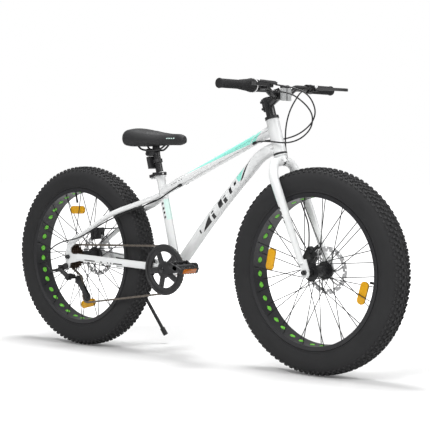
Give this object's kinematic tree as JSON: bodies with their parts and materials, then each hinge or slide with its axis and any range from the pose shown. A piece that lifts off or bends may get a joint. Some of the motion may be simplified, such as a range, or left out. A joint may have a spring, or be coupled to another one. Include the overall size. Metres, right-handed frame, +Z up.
{
  "type": "fat tire bike",
  "caption": "Small-wheeled fat tyre bicycle with a sloping frame, rigid fork, disc brakes, twist shifter, chain guard and kickstand.",
  "frame": {"origin": "on the ground, midway between the two axles, in the bicycle's middle plane", "axes": "+X forward, +Y to the rider's left, +Z up"},
  "size_m": [1.8, 0.6134, 0.9782],
  "materials": {
    "frame_paint": "gloss",
    "black_metal": "satin",
    "bare_steel": "brushed",
    "worn_steel": "satin",
    "black_alloy": "satin",
    "tyre_rubber": "matte",
    "grip_rubber": "matte",
    "tube_rubber": "matte",
    "seat_foam": "matte",
    "black_plastic": "satin",
    "amber_lens": "gloss",
    "red_lens": "gloss",
    "clear_lens": "gloss",
    "cable_sleeve": "satin"
  },
  "bodies": {
    "frame": {"frame": "frame_paint", "headset_cups": "black_metal", "bottom_bracket_cups": "black_metal", "seat_collar": "black_alloy", "rear_caliper": "black_alloy", "rear_axle": "bare_steel", "chain": "worn_steel", "shift_cable": "cable_sleeve", "rear_brake_cable": "cable_sleeve", "derailleur_body": "black_metal"},
    "seat": {"seat_post": "black_alloy", "saddle_rails": "black_metal", "saddle_clamp": "black_alloy", "saddle": "seat_foam", "rear_reflector": "red_lens"},
    "seat_lever": {"seat_lever": "black_alloy"},
    "steering": {"fork": "frame_paint", "stem": "black_alloy", "stem_hardware": "black_alloy", "handlebar": "black_alloy", "grips": "grip_rubber", "shifter_housing": "black_plastic", "lever_perches": "black_alloy", "front_caliper": "black_alloy", "front_axle": "bare_steel", "front_reflector": "clear_lens", "front_brake_cable": "cable_sleeve"},
    "front_wheel": {"front_rim": "black_alloy", "front_tyre": "tyre_rubber", "front_inner_tube": "tube_rubber", "front_spokes": "black_metal", "front_hub": "black_alloy", "front_rotor": "bare_steel", "front_wheel_reflectors": "amber_lens"},
    "rear_wheel": {"rear_rim": "black_alloy", "rear_tyre": "tyre_rubber", "rear_inner_tube": "tube_rubber", "rear_spokes": "black_metal", "rear_hub": "black_alloy", "rear_rotor": "bare_steel", "rear_wheel_reflectors": "amber_lens"},
    "crankset": {"crank_spindle": "bare_steel", "crank_arm_right": "black_alloy", "crank_arm_left": "black_alloy", "chainring": "black_metal", "chain_guard": "black_plastic"},
    "pedal_right": {"pedal_right": "black_plastic"},
    "pedal_left": {"pedal_left": "black_plastic"},
    "freewheel": {"freewheel": "worn_steel"},
    "guide_pulley": {"guide_pulley": "black_plastic"},
    "tension_pulley": {"tension_pulley": "black_plastic"},
    "derailleur_cage": {"derailleur_cage": "black_metal"},
    "derailleur_link": {"derailleur_link": "black_metal"},
    "derailleur_knuckle": {"derailleur_knuckle": "black_metal"},
    "twist_grip": {"twist_grip": "grip_rubber"},
    "brake_lever_right": {"brake_lever_right": "black_alloy"},
    "brake_lever_left": {"brake_lever_left": "black_alloy"},
    "front_caliper_arm": {"front_caliper_arm": "black_metal"},
    "rear_caliper_arm": {"rear_caliper_arm": "black_metal"},
    "kickstand": {"kickstand": "black_metal"}
  },
  "joints": [
    {"name": "steering", "type": "hinge", "parent": "frame", "child": "steering", "pos_m": [0.51473, 0, 0.33307], "axis": [-0.284, 0, 0.9588], "range_deg": [-45, 45], "deforming": ["shift_cable", "rear_brake_cable"]},
    {"name": "front_wheel_spin", "type": "hinge", "parent": "steering", "child": "front_wheel", "pos_m": [0.555, 0, 0.345], "axis": [0, 1, 0], "continuous": true},
    {"name": "rear_wheel_spin", "type": "hinge", "parent": "frame", "child": "rear_wheel", "pos_m": [-0.555, 0, 0.345], "axis": [0, 1, 0], "continuous": true},
    {"name": "crank_spin", "type": "hinge", "parent": "frame", "child": "crankset", "pos_m": [-0.075, 0, 0.32], "axis": [0, 1, 0], "continuous": true},
    {"name": "pedal_right_spin", "type": "hinge", "parent": "crankset", "child": "pedal_right", "pos_m": [0.0757, 0, 0.33984], "axis": [0, 1, 0], "continuous": true},
    {"name": "pedal_left_spin", "type": "hinge", "parent": "crankset", "child": "pedal_left", "pos_m": [-0.2257, 0, 0.30016], "axis": [0, 1, 0], "continuous": true},
    {"name": "freewheel_spin", "type": "hinge", "parent": "frame", "child": "freewheel", "pos_m": [-0.555, 0, 0.345], "axis": [0, 1, 0], "continuous": true},
    {"name": "twist_shift", "type": "hinge", "parent": "steering", "child": "twist_grip", "pos_m": [0.38925, -0.1998, 0.95739], "axis": [0.0442, 0.999, -0.0044], "range_deg": [-25, 95], "deforming": ["chain"]},
    {"name": "derailleur_swing", "type": "hinge", "parent": "frame", "child": "derailleur_link", "pos_m": [-0.595, -0.103, 0.299], "axis": [0.5222, 0, 0.8529], "range_deg": [-19, 5], "deforming": ["chain"]},
    {"name": "knuckle_swing", "type": "hinge", "parent": "derailleur_link", "child": "derailleur_knuckle", "pos_m": [-0.546, -0.103, 0.269], "axis": [0.5222, 0, 0.8529], "range_deg": [-5, 19], "deforming": ["chain"]},
    {"name": "cage_swing", "type": "hinge", "parent": "derailleur_knuckle", "child": "derailleur_cage", "pos_m": [-0.546, -0.063, 0.269], "axis": [0, 1, 0], "range_deg": [-8, 12], "stiffness_Nm_per_rad": 0.4, "deforming": ["chain"]},
    {"name": "guide_pulley_spin", "type": "hinge", "parent": "derailleur_cage", "child": "guide_pulley", "pos_m": [-0.53, -0.063, 0.255], "axis": [0, 1, 0], "continuous": true},
    {"name": "tension_pulley_spin", "type": "hinge", "parent": "derailleur_cage", "child": "tension_pulley", "pos_m": [-0.482, -0.063, 0.195], "axis": [0, 1, 0], "continuous": true},
    {"name": "brake_lever_right_pull", "type": "hinge", "parent": "steering", "child": "brake_lever_right", "pos_m": [0.42717, -0.11129, 0.957], "axis": [0, 0, -1], "range_deg": [0, 18], "stiffness_Nm_per_rad": 1.5},
    {"name": "brake_lever_left_pull", "type": "hinge", "parent": "steering", "child": "brake_lever_left", "pos_m": [0.42493, 0.16184, 0.95722], "axis": [0, 0, 1], "range_deg": [0, 18], "stiffness_Nm_per_rad": 1.5},
    {"name": "front_caliper_pull", "type": "hinge", "parent": "steering", "child": "front_caliper_arm", "pos_m": [0.48546, 0.052, 0.38845], "axis": [0, 1, 0], "range_deg": [0, 18]},
    {"name": "rear_caliper_pull", "type": "hinge", "parent": "frame", "child": "rear_caliper_arm", "pos_m": [-0.56357, 0.067, 0.42655], "axis": [0, 1, 0], "range_deg": [0, 18]},
    {"name": "seat_height", "type": "slide", "parent": "frame", "child": "seat", "axis": [-0.2419, 0, 0.9703], "range_m": [-0.02, 0.04]},
    {"name": "seat_lever_swing", "type": "hinge", "parent": "frame", "child": "seat_lever", "pos_m": [-0.18248, -0.021, 0.64361], "axis": [0.2419, 0, -0.9703], "range_deg": [0, 150]},
    {"name": "kickstand_fold", "type": "hinge", "parent": "frame", "child": "kickstand", "pos_m": [-0.445, 0.096, 0.319], "axis": [0.3092, 0.8287, 0.4665], "range_deg": [0, 110]}
  ],
  "couplings": [
    {"joint": "freewheel_spin", "follows": "crank_spin", "ratio": 1.9091},
    {"joint": "guide_pulley_spin", "follows": "crank_spin", "ratio": -3.8182},
    {"joint": "tension_pulley_spin", "follows": "crank_spin", "ratio": 3.8182},
    {"joint": "derailleur_swing", "follows": "twist_shift", "ratio": -0.2},
    {"joint": "knuckle_swing", "follows": "twist_shift", "ratio": 0.2},
    {"joint": "front_caliper_pull", "follows": "brake_lever_left_pull", "ratio": 1},
    {"joint": "rear_caliper_pull", "follows": "brake_lever_right_pull", "ratio": 1}
  ]
}
